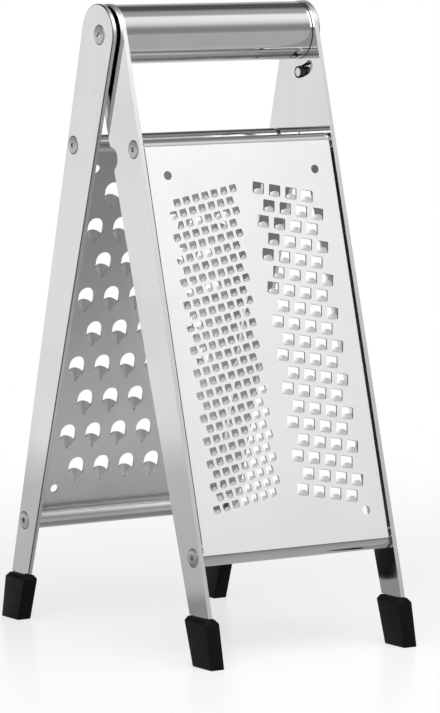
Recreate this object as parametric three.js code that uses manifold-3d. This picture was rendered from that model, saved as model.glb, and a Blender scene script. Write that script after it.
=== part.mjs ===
// Folding grater: two grating panels on flat steel legs, hinged on a tubular handle.
// Millimetres, +Z up, handle along X, fine panel facing -Y, origin on the floor under the handle.

import * as THREE from 'three';
import { ConvexGeometry } from 'three/addons/geometries/ConvexGeometry.js';
import { mergeGeometries, mergeVertices } from 'three/addons/utils/BufferGeometryUtils.js';
import Module from 'manifold-3d';

const wasm = await Module();
wasm.setup();

// Stance
const PIVOT_HEIGHT = 257.5;
const LEAN = THREE.MathUtils.degToRad(15);

// Handle
const HANDLE_DIAMETER = 25;
const HANDLE_WALL = 1.5;
const PLUG_LENGTH = 14;

// Legs: distances across a leg are measured outward from the line through the pivot
const INSIDE_WIDTH = 94.4;
const LEG_THICKNESS = 2;
const LEG_OUTER_EDGE = 14.1;
const LEG_TOP_MARGIN = 0.1;
const LEG_INNER_EDGE_AT_FOOT = 0.2;

// Fits
const SEAT_CLEARANCE = 0.2;
const HOLE_CLEARANCE = 0.2;
const WASHER_THICKNESS = 0.5;
const WASHER_DIAMETER = 14;
const NOTCH_CLEARANCE = 0.8;
const NOTCH_FILLET = 2;

// Panels
const SHEET = 0.8;
const ROLL_RADIUS = 4;
const PANEL_INSET = 1;
const PANEL_SIDE_GAP = 1;
const SIDE_DEPTH = 6;
const SIDE_FROM_ROD = 4.5;
const TOP_ROD_DISTANCE = 51.2;
const BOTTOM_ROD_ABOVE_FOOT = 24.8;
const CORNER_HOLE_DIAMETER = 3.8;
const CORNER_HOLE_FROM_SIDE = 9.3;
const CORNER_HOLE_FROM_ROD = 12.4;

// Grating fields: pitches, slant of the rows, and margins to the rods and panel edges
const FINE = { pitch: 4.75, rowPitch: 4.77, slope: -0.175, hole: 3.2, fromSide: 9.5, fromTop: 24.4 };
const MEDIUM = { pitch: 8, rowPitch: 7.15, slope: 0.188, hole: 5.4, fromSide: 11.3, fromTop: 18.8 };
const FIELD_FROM_BOTTOM = 17;
const FIELD_FROM_MIDDLE = 4.2;
const STAGGER = 0.5;
const MEDIUM_MOUTH = 2.6;
const MEDIUM_TOOTH_HEIGHT = 1.4;
const MEDIUM_TOOTH_LENGTH = 2.5;
const MEDIUM_TIP_WIDTH = 2.7;
const COARSE = { pitch: 12.92, rowPitch: 15.84, fromSide: 12.9, fromTop: 22.8, fromBottom: 14 };
const COARSE_HOLE_WIDTH = 7.7;
const COARSE_HOLE_TOP = 3.4;
const COARSE_HOLE_BOTTOM = 2.8;
const COARSE_TOOTH_HEIGHT = 2.6;
const COARSE_TOOTH_LENGTH = 7;

// Fasteners
const SCREW = { head: 7.4, shank: 4, length: 11, socket: 2.6 };
const PIVOT_SCREW = { head: 8, shank: 5, length: 18, socket: 3.2 };
const SOCKET_DEPTH = 1.1;
const BORE_RUNOUT = 1;
const STOP_SIDE = 1;
const PIN_DIAMETER = 4.6;
const PIN_ORBIT = 18;
const PIN_ANGLE = THREE.MathUtils.degToRad(17.8);
const PIN_CLEARANCE = 0.3;
const PIN_CHAMFER = 0.4;

// Feet
const FOOT_HEIGHT = 20.5;
const FOOT_WALL = 2.3;
const FOOT_CHAMFER = 2.1;
const FOOT_FLARE = 1.2;
const FOOT_TOP_INSET = 1.5;
const FOOT_SOLE = 4;

// Facets
const ROUND = 24;
const SMALL_ROUND = 12;
const ROLL_STEPS = 10;
const RIM_STEPS = 4;
const MOUTH_STEPS = 6;
const DOME_STEPS = 3;
const FILLET_STEPS = 4;
const SLOT_STEPS = 6;
const CUT_OVERSHOOT = 0.2;
const SAME_POINT = 0.0001;

// Worked-out places
const FRONT = -1;
const REAR = 1;
const FRAME_GAP = WASHER_THICKNESS + 2 * SEAT_CLEARANCE;
const FRONT_LEG_FACE = INSIDE_WIDTH / 2 + LEG_THICKNESS;
const REAR_LEG_FACE = FRONT_LEG_FACE + FRAME_GAP + LEG_THICKNESS;
const PANEL_FACE = LEG_OUTER_EDGE - PANEL_INSET;
const ROD_OFFSET = PANEL_FACE - ROLL_RADIUS;
const BOTTOM_ROD_DISTANCE = downTo(ROD_OFFSET, FOOT_HEIGHT) - BOTTOM_ROD_ABOVE_FOOT;
const ROLL_BORE = ROLL_RADIUS - SHEET;
const ROD_RADIUS = ROLL_BORE - SEAT_CLEARANCE;
const SCREW_PROUD = FRAME_GAP - 2 * SEAT_CLEARANCE;
const LEG_TOP_WIDTH = HANDLE_DIAMETER + LEG_TOP_MARGIN;
const LEG_TOP_RADIUS = LEG_TOP_WIDTH / 2;
const LEG_TOP_CENTRE = LEG_OUTER_EDGE - LEG_TOP_RADIUS;
const LEG_INNER_EDGE_AT_TOP = LEG_OUTER_EDGE - LEG_TOP_WIDTH;

const STEEL = { color: 0xd6d8da, roughness: 0.12, metalness: 1 };
const SATIN = { color: 0xcfd1d3, roughness: 0.32, metalness: 1 };
const BRIGHT = { color: 0xbfc2c5, roughness: 0.2, metalness: 1 };
const RUBBER = { color: 0x161617, roughness: 0.75, metalness: 0 };
const NYLON = { color: 0x1d1d1f, roughness: 0.6, metalness: 0 };

/** Distance down a leg from the pivot to the level z, at the distance t outward from the pivot line. */
function downTo(t, z) {
  return (PIVOT_HEIGHT - z + t * Math.sin(LEAN)) / Math.cos(LEAN);
}

/** Makes a named mesh with its own material. */
function piece(name, geometry, finish) {
  geometry.computeVertexNormals();
  const mesh = new THREE.Mesh(geometry, new THREE.MeshStandardMaterial(finish));
  mesh.name = name;
  return mesh;
}

/** Turns a closed geometry into a solid for cutting and joining. */
function solid(geometry) {
  const bare = geometry.clone();
  bare.deleteAttribute('normal');
  bare.deleteAttribute('uv');
  const merged = mergeVertices(bare, SAME_POINT);
  const vertProperties = new Float32Array(merged.attributes.position.array);
  const triVerts = new Uint32Array(merged.index.array);
  return new wasm.Manifold(new wasm.Mesh({ numProp: 3, vertProperties, triVerts }));
}

/** Turns a solid back into a geometry. */
function geometryOf(body) {
  const mesh = body.getMesh();
  const geometry = new THREE.BufferGeometry();
  geometry.setAttribute('position', new THREE.BufferAttribute(new Float32Array(mesh.vertProperties), 3));
  geometry.setIndex(new THREE.BufferAttribute(new Uint32Array(mesh.triVerts), 1));
  return geometry;
}

/** Many separate closed geometries as one solid. */
function scattered(geometries) {
  const bare = geometries.map((geometry) => {
    const copy = geometry.index ? geometry.toNonIndexed() : geometry.clone();
    copy.deleteAttribute('normal');
    copy.deleteAttribute('uv');
    return copy;
  });
  return solid(mergeGeometries(bare));
}

/** Points on an arc in the plane, from one angle to another. */
function arc(centreX, centreY, radius, from, to, steps) {
  const points = [];
  for (let step = 0; step <= steps; step += 1) {
    const angle = from + ((to - from) * step) / steps;
    points.push(new THREE.Vector2(centreX + radius * Math.cos(angle), centreY + radius * Math.sin(angle)));
  }
  return points;
}

/** Extrudes a side outline of (outward, down) points across X, for the front or the rear frame. */
function acrossX(facing, outline, holes, x0, width) {
  const place = (points) => {
    const placed = points.map((point) => new THREE.Vector2(facing * point.x, -point.y));
    return THREE.ShapeUtils.isClockWise(placed) ? placed.reverse() : placed;
  };
  const shape = new THREE.Shape(place(outline));
  shape.holes = holes.map((hole) => new THREE.Path(place(hole)));
  const geometry = new THREE.ExtrudeGeometry(shape, { depth: width, bevelEnabled: false });
  const turn = new THREE.Matrix4().makeBasis(
    new THREE.Vector3(0, 1, 0),
    new THREE.Vector3(0, 0, 1),
    new THREE.Vector3(1, 0, 0),
  );
  geometry.applyMatrix4(turn);
  geometry.translate(x0, 0, 0);
  return geometry;
}

/** A turned piece about the X axis, from (radius, x) points, facing +X or -X. */
function turned(profile, side, segments) {
  const points = profile.map(([radius, x]) => new THREE.Vector2(radius, x));
  const geometry = new THREE.LatheGeometry(points, segments);
  geometry.rotateZ(-Math.PI / 2);
  if (side < 0) {
    geometry.rotateZ(Math.PI);
  }
  return geometry;
}

/** The groove in a front leg's inner edge that lets the rear panel's rolled edge in when folded. */
function notchPoints() {
  const bottom = new THREE.Vector2(LEG_INNER_EDGE_AT_FOOT, downTo(LEG_INNER_EDGE_AT_FOOT, FOOT_HEIGHT));
  const top = new THREE.Vector2(LEG_INNER_EDGE_AT_TOP, 0);
  const along = top.clone().sub(bottom).normalize();
  const inward = new THREE.Vector2(-along.y, along.x);
  const centre = new THREE.Vector2(-ROD_OFFSET, TOP_ROD_DISTANCE);
  const fromBottom = centre.clone().sub(bottom);
  const depth = fromBottom.dot(inward);
  const foot = bottom.clone().addScaledVector(along, fromBottom.dot(along));
  const radius = ROLL_RADIUS + NOTCH_CLEARANCE;
  const rise = NOTCH_FILLET - depth;
  const reach = Math.sqrt((radius + NOTCH_FILLET) ** 2 - rise ** 2);
  const meet = Math.atan2(rise, reach);
  const flat = [
    ...arc(-reach, NOTCH_FILLET, NOTCH_FILLET, -Math.PI / 2, -meet, FILLET_STEPS),
    ...arc(0, depth, radius, Math.PI - meet, meet, SMALL_ROUND),
    ...arc(reach, NOTCH_FILLET, NOTCH_FILLET, Math.PI + meet, 1.5 * Math.PI, FILLET_STEPS),
  ];
  return flat.map((point) => foot.clone().addScaledVector(along, point.x).addScaledVector(inward, point.y));
}

/** The curved slot in a front leg that the rear leg's stop pin runs in. */
function slotPoints() {
  const half = PIN_DIAMETER / 2 + PIN_CLEARANCE;
  const down = Math.PI / 2;
  const open = down - (PIN_ANGLE - 2 * LEAN);
  const folded = down - PIN_ANGLE;
  const end = (angle) => [PIN_ORBIT * Math.cos(angle), PIN_ORBIT * Math.sin(angle)];
  return [
    ...arc(0, 0, PIN_ORBIT + half, folded, open, SLOT_STEPS),
    ...arc(...end(open), half, open, open + Math.PI, SLOT_STEPS),
    ...arc(0, 0, PIN_ORBIT - half, open, folded, SLOT_STEPS),
    ...arc(...end(folded), half, folded - Math.PI, folded, SLOT_STEPS),
  ].filter((point, index, all) => index === 0 || point.distanceTo(all[index - 1]) > SAME_POINT);
}

/** The tool that cuts a countersunk hole for a screw at a place on the leg; x is 0 at its outer face. */
function countersink(screw, side, facing, out, distance) {
  const bore = screw.shank / 2 + HOLE_CLEARANCE;
  const rim = screw.head / 2 + HOLE_CLEARANCE * Math.SQRT2;
  const profile = [
    [0, -LEG_THICKNESS - CUT_OVERSHOOT],
    [bore, -LEG_THICKNESS - CUT_OVERSHOOT],
    [bore, bore - rim],
    [rim + CUT_OVERSHOOT, CUT_OVERSHOOT],
    [0, CUT_OVERSHOOT],
  ];
  const tool = turned(profile, side, SMALL_ROUND);
  const face = facing === FRONT ? FRONT_LEG_FACE : REAR_LEG_FACE;
  tool.translate(side * face, facing * out, -distance);
  return tool;
}

/** A flat tapered leg with a round top, its screw holes, and a tang inside the rubber foot. */
function legGeometry(facing, side) {
  const face = facing === FRONT ? FRONT_LEG_FACE : REAR_LEG_FACE;
  const shoulder = FOOT_HEIGHT + SEAT_CLEARANCE;
  const at = (t, z) => new THREE.Vector2(t, downTo(t, z));
  const tangOuter = LEG_OUTER_EDGE - FOOT_WALL;
  const tangInner = LEG_INNER_EDGE_AT_FOOT + FOOT_WALL;
  const outline = [
    ...arc(LEG_TOP_CENTRE, 0, LEG_TOP_RADIUS, -Math.PI, 0, ROUND),
    at(LEG_OUTER_EDGE, shoulder),
    at(tangOuter, shoulder),
    at(tangOuter, FOOT_SOLE + SEAT_CLEARANCE),
    at(tangInner, FOOT_SOLE + SEAT_CLEARANCE),
    at(tangInner, shoulder),
    at(LEG_INNER_EDGE_AT_FOOT, shoulder),
  ];
  const holes = [];
  const distances = [TOP_ROD_DISTANCE, BOTTOM_ROD_DISTANCE];
  const tools = distances.map((distance) => countersink(SCREW, side, facing, ROD_OFFSET, distance));
  if (facing === FRONT) {
    outline.push(...notchPoints());
    holes.push(arc(0, 0, PIVOT_SCREW.shank / 2 + HOLE_CLEARANCE, 0, 2 * Math.PI, SMALL_ROUND).slice(1));
  } else {
    tools.push(countersink(PIVOT_SCREW, side, facing, 0, 0));
  }
  if (facing === FRONT && side === STOP_SIDE) {
    holes.push(slotPoints().slice(0, -1));
  }
  const x0 = side > 0 ? face - LEG_THICKNESS : -face;
  const bar = solid(acrossX(facing, outline, holes, x0, LEG_THICKNESS));
  return geometryOf(bar.subtract(scattered(tools)));
}

/** The panel's section: a flat sheet whose two ends are rolled three quarters round their rods. */
function panelSection() {
  const turn = 1.5 * Math.PI;
  return [
    ...arc(ROD_OFFSET, TOP_ROD_DISTANCE, ROLL_RADIUS, 0, -turn, ROLL_STEPS),
    ...arc(ROD_OFFSET, TOP_ROD_DISTANCE, ROLL_BORE, -turn, 0, ROLL_STEPS),
    ...arc(ROD_OFFSET, BOTTOM_ROD_DISTANCE, ROLL_BORE, 0, turn, ROLL_STEPS),
    ...arc(ROD_OFFSET, BOTTOM_ROD_DISTANCE, ROLL_RADIUS, turn, 0, ROLL_STEPS),
  ];
}

/** A prism through the sheet from an outline of (across, down) points about a place on the panel. */
function throughSheet(facing, outline, x, s, reach) {
  const shape = new THREE.Shape(outline);
  const depth = SHEET + reach + 2 * CUT_OVERSHOOT;
  const geometry = new THREE.ExtrudeGeometry(shape, { depth, bevelEnabled: false });
  const turn = new THREE.Matrix4().makeBasis(
    new THREE.Vector3(-facing, 0, 0),
    new THREE.Vector3(0, 0, -1),
    new THREE.Vector3(0, -facing, 0),
  );
  geometry.applyMatrix4(turn);
  geometry.translate(x, facing * (PANEL_FACE + reach + CUT_OVERSHOOT), -s);
  return geometry;
}

/** A square outline, turned by an angle and moved down by a distance. */
function rectangle(width, height, turn, down) {
  const corners = [[-1, -1], [1, -1], [1, 1], [-1, 1]];
  const middle = new THREE.Vector2();
  return corners.map(([a, b]) => {
    const corner = new THREE.Vector2((a * width) / 2, (b * height) / 2 + down);
    return corner.rotateAround(middle, turn);
  });
}

/** Round holes near a panel's corners; the front panel has none at its lower left. */
function cornerHoles(facing) {
  const outline = arc(0, 0, CORNER_HOLE_DIAMETER / 2, 0, 2 * Math.PI, SMALL_ROUND).slice(1);
  const holes = [];
  for (const side of [-1, 1]) {
    const x = side * (INSIDE_WIDTH / 2 - PANEL_SIDE_GAP - CORNER_HOLE_FROM_SIDE);
    holes.push(throughSheet(facing, outline, x, TOP_ROD_DISTANCE + CORNER_HOLE_FROM_ROD, 0));
    if (facing === REAR || side > 0) {
      holes.push(throughSheet(facing, outline, x, BOTTOM_ROD_DISTANCE - CORNER_HOLE_FROM_ROD, 0));
    }
  }
  return holes;
}

/** Centres of a staggered field of slanted rows between a panel side and the middle. */
function slantedField(field, side, halfWidth) {
  const width = halfWidth - field.fromSide - FIELD_FROM_MIDDLE;
  const columns = Math.floor(width / field.pitch - STAGGER) + 1;
  const first = TOP_ROD_DISTANCE + field.fromTop;
  const drop = Math.abs(field.slope) * field.pitch * columns;
  const length = BOTTOM_ROD_DISTANCE - FIELD_FROM_BOTTOM - first - (side > 0 ? drop : 0);
  const rows = Math.floor(length / field.rowPitch) + 1;
  const edge = side * (halfWidth - field.fromSide);
  const centres = [];
  for (let row = 0; row < rows; row += 1) {
    const shift = row % 2 === 0 ? STAGGER : 0;
    for (let column = 0; column < columns; column += 1) {
      const x = edge - side * (column + shift) * field.pitch;
      const base = side < 0 ? edge : FIELD_FROM_MIDDLE;
      centres.push({ x, s: first + row * field.rowPitch + (x - base) * field.slope });
    }
  }
  return centres;
}

/** A small raised tongue under a medium hole, as a wedge with its edge turned up. */
function mediumTooth(facing, x, s, turn) {
  const root = PANEL_FACE - SHEET / 2;
  const half = MEDIUM.hole / 2;
  const top = PANEL_FACE + MEDIUM_TOOTH_HEIGHT;
  const middle = new THREE.Vector2();
  const corners = [
    [-half, 0, root],
    [half, 0, root],
    [-half, MEDIUM_TOOTH_LENGTH, root],
    [half, MEDIUM_TOOTH_LENGTH, root],
    [-MEDIUM_TIP_WIDTH / 2, 0, top],
    [MEDIUM_TIP_WIDTH / 2, 0, top],
  ];
  const points = corners.map(([across, down, out]) => {
    const flat = new THREE.Vector2(across, down).rotateAround(middle, turn);
    return new THREE.Vector3(x + flat.x, facing * out, -(s + flat.y));
  });
  return new ConvexGeometry(points);
}

/** The sides of the front panel, turned in behind the sheet between its rolled edges. */
function turnedInSides(halfWidth) {
  const length = BOTTOM_ROD_DISTANCE - TOP_ROD_DISTANCE - 2 * SIDE_FROM_ROD;
  const depth = SIDE_DEPTH - SHEET / 2;
  return [-1, 1].map((side) => {
    const strip = new THREE.BoxGeometry(SHEET, depth, length);
    const out = PANEL_FACE - SIDE_DEPTH + depth / 2;
    const middle = TOP_ROD_DISTANCE + SIDE_FROM_ROD + length / 2;
    strip.translate(side * (halfWidth - SHEET / 2), FRONT * out, -middle);
    return strip;
  });
}

/** The fine and medium panel of the front frame. */
function frontPanelGeometry(halfWidth) {
  const section = panelSection();
  const sheet = solid(acrossX(FRONT, section, [], -halfWidth, 2 * halfWidth));
  const holes = cornerHoles(FRONT);
  const fineTurn = Math.atan(FINE.slope);
  const mediumTurn = Math.atan(MEDIUM.slope);
  const fineHole = rectangle(FINE.hole, FINE.hole, fineTurn, 0);
  const mediumHole = rectangle(MEDIUM.hole, MEDIUM_MOUTH, mediumTurn, -MEDIUM_MOUTH / 2);
  for (const { x, s } of slantedField(FINE, -1, halfWidth)) {
    holes.push(throughSheet(FRONT, fineHole, x, s, 0));
  }
  const teeth = [];
  for (const { x, s } of slantedField(MEDIUM, 1, halfWidth)) {
    holes.push(throughSheet(FRONT, mediumHole, x, s, MEDIUM_TOOTH_HEIGHT));
    teeth.push(mediumTooth(FRONT, x, s - CUT_OVERSHOOT / 2, mediumTurn));
  }
  const raised = scattered([...teeth, ...turnedInSides(halfWidth)]);
  return geometryOf(sheet.add(raised).subtract(scattered(holes)));
}

/** Half of a flattened cone lying on the sheet, wide at its upper end: a coarse tooth or its hollow. */
function halfCone(facing, x, s, width, height, length, base) {
  const rim = arc(0, 0, 1, 0, Math.PI, RIM_STEPS);
  const points = rim.map((p) => {
    return new THREE.Vector3(x + (p.x * width) / 2, facing * (base + p.y * height), -s);
  });
  points.push(new THREE.Vector3(x, facing * base, -(s + length)));
  return new ConvexGeometry(points);
}

/** The coarse panel of the rear frame, with scoop-shaped teeth pressed outward. */
function rearPanelGeometry(halfWidth) {
  const section = panelSection();
  const sheet = solid(acrossX(REAR, section, [], -halfWidth, 2 * halfWidth));
  const radius = COARSE_HOLE_WIDTH / 2;
  const mouth = [
    ...arc(0, radius - COARSE_HOLE_TOP, radius, Math.PI, 2 * Math.PI, MOUTH_STEPS),
    new THREE.Vector2(radius, COARSE_HOLE_BOTTOM),
    new THREE.Vector2(-radius, COARSE_HOLE_BOTTOM),
  ];
  const inside = PANEL_FACE - SHEET;
  const columns = Math.floor((2 * (halfWidth - COARSE.fromSide)) / COARSE.pitch);
  const first = TOP_ROD_DISTANCE + COARSE.fromTop;
  const rows = Math.floor((BOTTOM_ROD_DISTANCE - COARSE.fromBottom - first) / COARSE.rowPitch) + 1;
  const holes = cornerHoles(REAR);
  const teeth = [];
  const hollows = [];
  for (let row = 0; row < rows; row += 1) {
    const count = row % 2 === 0 ? columns : columns + 1;
    const s = first + row * COARSE.rowPitch;
    const edge = s + COARSE_HOLE_BOTTOM - CUT_OVERSHOOT;
    for (let column = 0; column < count; column += 1) {
      const x = (column - (count - 1) / 2) * COARSE.pitch;
      const outer = SHEET + COARSE_TOOTH_HEIGHT;
      const hollowLength = COARSE_TOOTH_LENGTH - 2 * SHEET;
      const hollowBase = inside - CUT_OVERSHOOT;
      const hollowHeight = outer - SHEET + CUT_OVERSHOOT;
      holes.push(throughSheet(REAR, mouth, x, s, COARSE_TOOTH_HEIGHT));
      teeth.push(halfCone(REAR, x, edge, COARSE_HOLE_WIDTH, outer, COARSE_TOOTH_LENGTH, inside));
      const hollowWidth = COARSE_HOLE_WIDTH - 2 * SHEET;
      hollows.push(halfCone(REAR, x, edge, hollowWidth, hollowHeight, hollowLength, hollowBase));
    }
  }
  const shaped = sheet.add(scattered(teeth)).subtract(scattered(hollows));
  return geometryOf(shaped.subtract(scattered(holes)));
}

/** A cross rod bored at both ends for its screws. */
function rodGeometry(halfLength) {
  const bore = SCREW.shank / 2 + HOLE_CLEARANCE;
  const depth = SCREW.length - LEG_THICKNESS + BORE_RUNOUT;
  const profile = [
    [0, -halfLength + depth],
    [bore, -halfLength + depth],
    [bore, -halfLength],
    [ROD_RADIUS, -halfLength],
    [ROD_RADIUS, halfLength],
    [bore, halfLength],
    [bore, halfLength - depth],
    [0, halfLength - depth],
  ];
  return turned(profile, 1, SMALL_ROUND);
}

/** The domed top of a screw head, as (radius, x) points from its rim to the axis. */
function dome(radius, height) {
  const quarter = arc(0, 0, 1, 0, Math.PI / 2, DOME_STEPS);
  const points = quarter.map((p) => [radius * p.x, height * p.y]);
  points[points.length - 1][0] = 0;
  return points;
}

/** A countersunk screw that stands only a little proud of the leg; x is 0 at the leg's outer face. */
function screwGeometry(screw, side) {
  const shank = screw.shank / 2;
  const radius = screw.head / 2;
  const profile = [
    [0, -screw.length],
    [shank, -screw.length],
    [shank, shank - radius],
    ...dome(radius, SCREW_PROUD),
  ];
  const body = solid(turned(profile, side, SMALL_ROUND));
  const socket = new THREE.CylinderGeometry(screw.socket / 2, screw.socket / 2, 2 * SOCKET_DEPTH, 6);
  socket.rotateZ(Math.PI / 2);
  socket.translate(side * SCREW_PROUD, 0, 0);
  return geometryOf(body.subtract(solid(socket)));
}

/** A rubber boot that leans with the leg and widens upward, level on top and hollow for the tang. */
function footGeometry(facing, side) {
  const face = facing === FRONT ? FRONT_LEG_FACE : REAR_LEG_FACE;
  const xOuter = side * (face + FOOT_WALL);
  const xInner = side * (face - LEG_THICKNESS - FOOT_WALL);
  const corner = (x, t, z) => new THREE.Vector3(x, facing * t, -downTo(t, z));
  const levels = [
    { z: 0, inset: 0, beyond: 0 },
    { z: FOOT_HEIGHT - FOOT_CHAMFER, inset: 0, beyond: FOOT_FLARE },
    { z: FOOT_HEIGHT, inset: FOOT_TOP_INSET, beyond: FOOT_FLARE - FOOT_TOP_INSET },
  ];
  const points = [];
  for (const { z, inset, beyond } of levels) {
    for (const x of [xOuter - side * inset, xInner + side * inset]) {
      points.push(corner(x, LEG_INNER_EDGE_AT_FOOT - beyond, z));
      points.push(corner(x, LEG_OUTER_EDGE + beyond, z));
    }
  }
  const pocket = [];
  for (const z of [FOOT_SOLE, FOOT_HEIGHT + FOOT_CHAMFER]) {
    for (const x of [side * (face + SEAT_CLEARANCE), side * (face - LEG_THICKNESS - SEAT_CLEARANCE)]) {
      pocket.push(corner(x, LEG_INNER_EDGE_AT_FOOT + FOOT_WALL - SEAT_CLEARANCE, z));
      pocket.push(corner(x, LEG_OUTER_EDGE - FOOT_WALL + SEAT_CLEARANCE, z));
    }
  }
  return geometryOf(solid(new ConvexGeometry(points)).subtract(solid(new ConvexGeometry(pocket))));
}

/** One frame: its two legs, panel, cross rods, screws and feet, in a group that leans on the pivot. */
function frameGroup(facing, prefix) {
  const face = facing === FRONT ? FRONT_LEG_FACE : REAR_LEG_FACE;
  const inside = face - LEG_THICKNESS;
  const halfWidth = inside - PANEL_SIDE_GAP;
  const group = new THREE.Group();
  group.position.z = PIVOT_HEIGHT;
  group.rotation.x = facing * LEAN;
  const panel = facing === FRONT ? frontPanelGeometry(halfWidth) : rearPanelGeometry(halfWidth);
  group.add(piece(`${prefix}_panel`, panel, SATIN));
  for (const [level, distance] of [['top', TOP_ROD_DISTANCE], ['bottom', BOTTOM_ROD_DISTANCE]]) {
    const rod = piece(`${prefix}_${level}_rod`, rodGeometry(inside - SEAT_CLEARANCE), BRIGHT);
    rod.position.set(0, facing * ROD_OFFSET, -distance);
    group.add(rod);
    for (const [hand, side] of [['left', -1], ['right', 1]]) {
      const screw = piece(`${prefix}_${level}_screw_${hand}`, screwGeometry(SCREW, side), BRIGHT);
      screw.position.set(side * face, facing * ROD_OFFSET, -distance);
      group.add(screw);
    }
  }
  for (const [hand, side] of [['left', -1], ['right', 1]]) {
    group.add(piece(`${prefix}_leg_${hand}`, legGeometry(facing, side), STEEL));
    group.add(piece(`${prefix}_foot_${hand}`, footGeometry(facing, side), RUBBER));
  }
  return group;
}

/** The stop pin on a rear leg's inner face, which runs in the front leg's slot. */
function stopPin() {
  const base = REAR_LEG_FACE - LEG_THICKNESS - SEAT_CLEARANCE;
  const length = base - INSIDE_WIDTH / 2;
  const radius = PIN_DIAMETER / 2;
  const profile = [
    [0, 0],
    [radius, 0],
    [radius, length - PIN_CHAMFER],
    [radius - PIN_CHAMFER, length],
    [0, length],
  ];
  const pin = piece('stop_pin', turned(profile, -STOP_SIDE, SMALL_ROUND), BRIGHT);
  pin.position.set(STOP_SIDE * base, -PIN_ORBIT * Math.sin(PIN_ANGLE), -PIN_ORBIT * Math.cos(PIN_ANGLE));
  return pin;
}

/** The tubular handle with its end plugs, pivot screws and washers, about the pivot. */
function handleGroup() {
  const group = new THREE.Group();
  group.position.z = PIVOT_HEIGHT;
  const halfLength = INSIDE_WIDTH / 2 - SEAT_CLEARANCE;
  const outer = HANDLE_DIAMETER / 2;
  const inner = outer - HANDLE_WALL;
  const wall = [[inner, -halfLength], [outer, -halfLength], [outer, halfLength], [inner, halfLength]];
  group.add(piece('handle_tube', turned([...wall, wall[0]], 1, 2 * ROUND), STEEL));
  const bore = PIVOT_SCREW.shank / 2 + HOLE_CLEARANCE;
  const plugRadius = inner - SEAT_CLEARANCE;
  const plug = [[bore, 0], [plugRadius, 0], [plugRadius, PLUG_LENGTH], [bore, PLUG_LENGTH], [bore, 0]];
  const ring = [
    [bore, 0],
    [WASHER_DIAMETER / 2, 0],
    [WASHER_DIAMETER / 2, WASHER_THICKNESS],
    [bore, WASHER_THICKNESS],
    [bore, 0],
  ];
  for (const [hand, side] of [['left', -1], ['right', 1]]) {
    const endPlug = piece(`handle_plug_${hand}`, turned(plug, -side, ROUND), BRIGHT);
    endPlug.position.x = side * halfLength;
    const washer = piece(`pivot_washer_${hand}`, turned(ring, side, ROUND), NYLON);
    washer.position.x = side * (FRONT_LEG_FACE + SEAT_CLEARANCE);
    const screw = piece(`pivot_screw_${hand}`, screwGeometry(PIVOT_SCREW, side), BRIGHT);
    screw.position.x = side * REAR_LEG_FACE;
    group.add(endPlug, washer, screw);
  }
  return group;
}

const grater = new THREE.Group();
const rearFrame = frameGroup(REAR, 'rear');
rearFrame.add(stopPin());
grater.add(handleGroup(), frameGroup(FRONT, 'front'), rearFrame);

export default grater;
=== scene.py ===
"""Dresses the folding grater: fine meshes, steel and rubber finishes, a pale studio and the camera."""

import logging
import math
from dataclasses import dataclass, field
from enum import Enum
from typing import Callable, ClassVar, Sequence

import bmesh
import bpy
from mathutils import Matrix, Vector


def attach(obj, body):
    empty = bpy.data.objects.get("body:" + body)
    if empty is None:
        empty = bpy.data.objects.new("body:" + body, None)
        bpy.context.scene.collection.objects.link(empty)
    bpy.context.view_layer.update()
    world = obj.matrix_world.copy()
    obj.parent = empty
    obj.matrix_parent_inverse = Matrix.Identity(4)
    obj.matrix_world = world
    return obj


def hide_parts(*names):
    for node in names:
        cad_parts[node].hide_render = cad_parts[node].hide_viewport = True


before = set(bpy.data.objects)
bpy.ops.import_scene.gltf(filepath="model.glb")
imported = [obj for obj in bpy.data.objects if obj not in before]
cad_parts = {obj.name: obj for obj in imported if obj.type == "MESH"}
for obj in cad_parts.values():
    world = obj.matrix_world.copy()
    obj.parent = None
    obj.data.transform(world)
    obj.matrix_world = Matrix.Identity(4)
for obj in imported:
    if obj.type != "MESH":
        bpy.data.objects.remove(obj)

LOG = logging.getLogger("grater")
MM = 0.001

# Shares of a face's normal along one axis that part one finish from the next.
SHEET_LEAN = 0.2
END_LEAN = 0.3
LEVEL_LEAN = 0.9
FLAT_LEAN = 0.95

# Steps round small turned pieces and holes.
ROUND_STEPS = 40
WASHER_STEPS = 48

# The scoop's roundness across, the angle from which leg edges are eased, and the boot's first inset.
SCOOP_CROWN = 1.6
EASED_ANGLE = math.radians(60.0)
BOOT_INSET = 0.3

Shape = bmesh.types.BMesh
Loop = Sequence[Vector]


class Facing(Enum):
    """Which way a frame faces: the front one towards -Y, the rear one towards +Y."""

    FRONT = -1
    REAR = 1

    @property
    def prefix(self) -> str:
        """The start of this frame's node names."""
        return self.name.lower()

    @property
    def body(self) -> str:
        """The moving body that this frame's pieces ride on."""
        return f"{self.prefix}_frame"


class Hand(Enum):
    """Left and right as seen from the front panel."""

    LEFT = -1
    RIGHT = 1

    @property
    def suffix(self) -> str:
        """The end of this side's node names."""
        return self.name.lower()


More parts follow.
